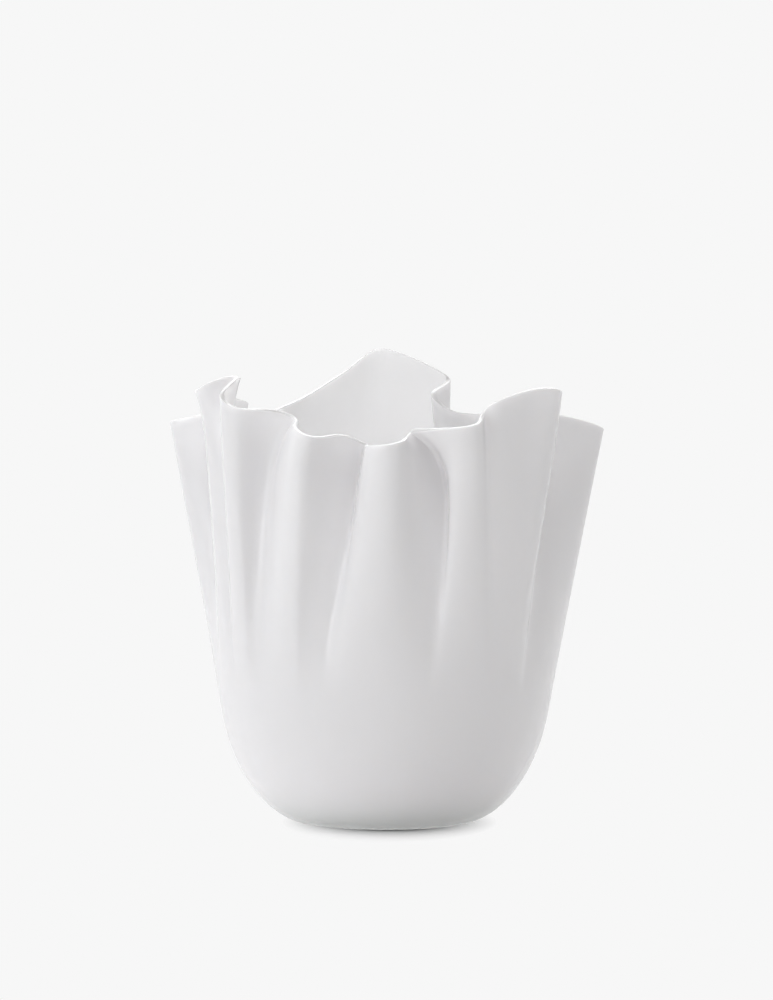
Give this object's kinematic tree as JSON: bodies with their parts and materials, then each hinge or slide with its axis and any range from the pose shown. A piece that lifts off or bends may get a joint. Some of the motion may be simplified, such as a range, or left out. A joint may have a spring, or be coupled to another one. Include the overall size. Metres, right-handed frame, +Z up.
{
  "type": "handkerchief vase",
  "caption": "Folded opal glass vase: a round blown bowl whose wall drops into deep folds below a wavy, open rim.",
  "frame": {"origin": "centre of the flat foot, on the surface that the vase stands on", "axes": "+Z up along the axis of the bowl, +X to the right and -Y towards a viewer who has the highest fold at the back"},
  "size_m": [0.2893, 0.2595, 0.3096],
  "materials": {
    "opal_glass": "satin opal white outside, glossier inside"
  },
  "bodies": {
    "root": {"vase": "opal_glass"}
  },
  "joints": []
}
